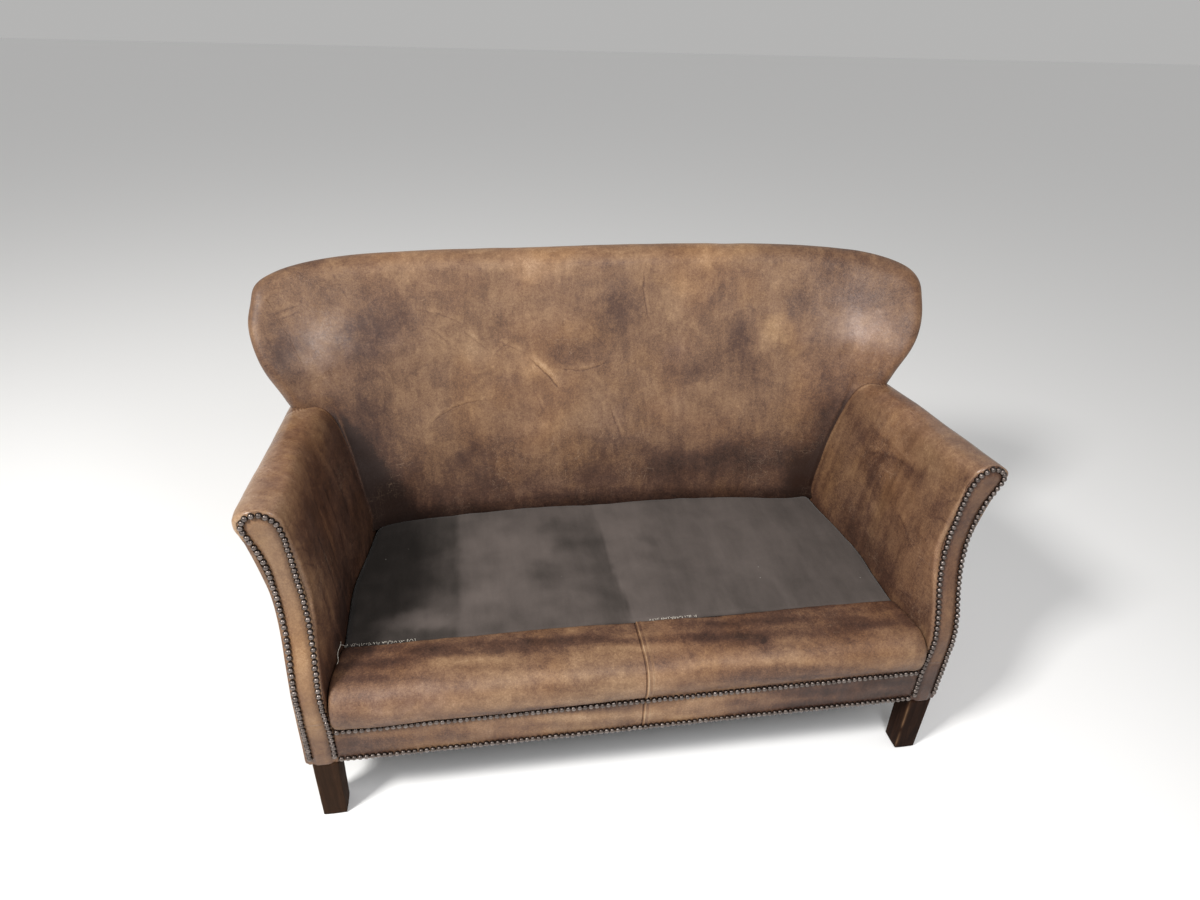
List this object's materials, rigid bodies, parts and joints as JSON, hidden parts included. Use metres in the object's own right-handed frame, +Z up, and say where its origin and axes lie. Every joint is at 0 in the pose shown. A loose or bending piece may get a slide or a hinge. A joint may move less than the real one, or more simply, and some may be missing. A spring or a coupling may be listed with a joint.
{
  "type": "two-seat leather sofa",
  "caption": "Small worn brown leather sofa with a wrap-round winged back, low scrolled arms, a bare cloth seat deck, dome-nail trim and short square legs.",
  "frame": {"origin": "on the floor, under the middle of the sofa's bounding box", "axes": "+X to the right of someone facing the sofa, +Y from the front of the seat to the back, +Z up"},
  "size_m": [1.484, 0.7638, 0.946],
  "materials": {
    "brown_leather": "waxed, mottled tan to dark brown, worn and creased",
    "deck_cloth": "brushed grey-brown cloth with a marked nap",
    "stained_wood": "dark walnut stain, worn at the edges",
    "frame_wood": "bare hardwood",
    "nail_metal": "antiqued dome heads with bright worn tops",
    "webbing": "elastic webbing",
    "foam": "cut upholstery foam",
    "undercloth": "thin black non-woven cloth"
  },
  "bodies": {
    "root": {"arm_facing_left": "brown_leather", "arm_facing_right": "brown_leather", "arm_nails_left": "nail_metal", "arm_nails_right": "nail_metal", "arm_post_left": "frame_wood", "arm_post_right": "frame_wood", "arm_top_rail_left": "frame_wood", "arm_top_rail_right": "frame_wood", "back_lower_rail": "frame_wood", "back_post_left": "frame_wood", "back_post_right": "frame_wood", "back_seat_rail": "frame_wood", "back_top_rail": "frame_wood", "back_upright_left": "frame_wood", "back_upright_right": "frame_wood", "back_web_1": "webbing", "back_web_2": "webbing", "back_web_3": "webbing", "back_web_4": "webbing", "centre_seat_rail": "frame_wood", "corner_block_back_left": "frame_wood", "corner_block_back_right": "frame_wood", "corner_block_front_left": "frame_wood", "corner_block_front_right": "frame_wood", "deck_cloth": "deck_cloth", "dust_cover": "undercloth", "front_band": "brown_leather", "front_nails_lower": "nail_metal", "front_nails_upper": "nail_metal", "front_seat_rail": "frame_wood", "inside_arm_left": "brown_leather", "inside_arm_right": "brown_leather", "inside_back": "brown_leather", "leg_back_left": "stained_wood", "leg_back_right": "stained_wood", "leg_front_left": "stained_wood", "leg_front_right": "stained_wood", "outside_arm_left": "brown_leather", "outside_arm_right": "brown_leather", "outside_back": "brown_leather", "seat_foam": "foam", "seat_roll": "brown_leather", "seat_web_1": "webbing", "seat_web_2": "webbing", "seat_web_3": "webbing", "seat_web_4": "webbing", "seat_web_5": "webbing", "seat_web_6": "webbing", "side_seat_rail_left": "frame_wood", "side_seat_rail_right": "frame_wood", "wing_board_left": "frame_wood", "wing_board_right": "frame_wood"}
  },
  "joints": []
}
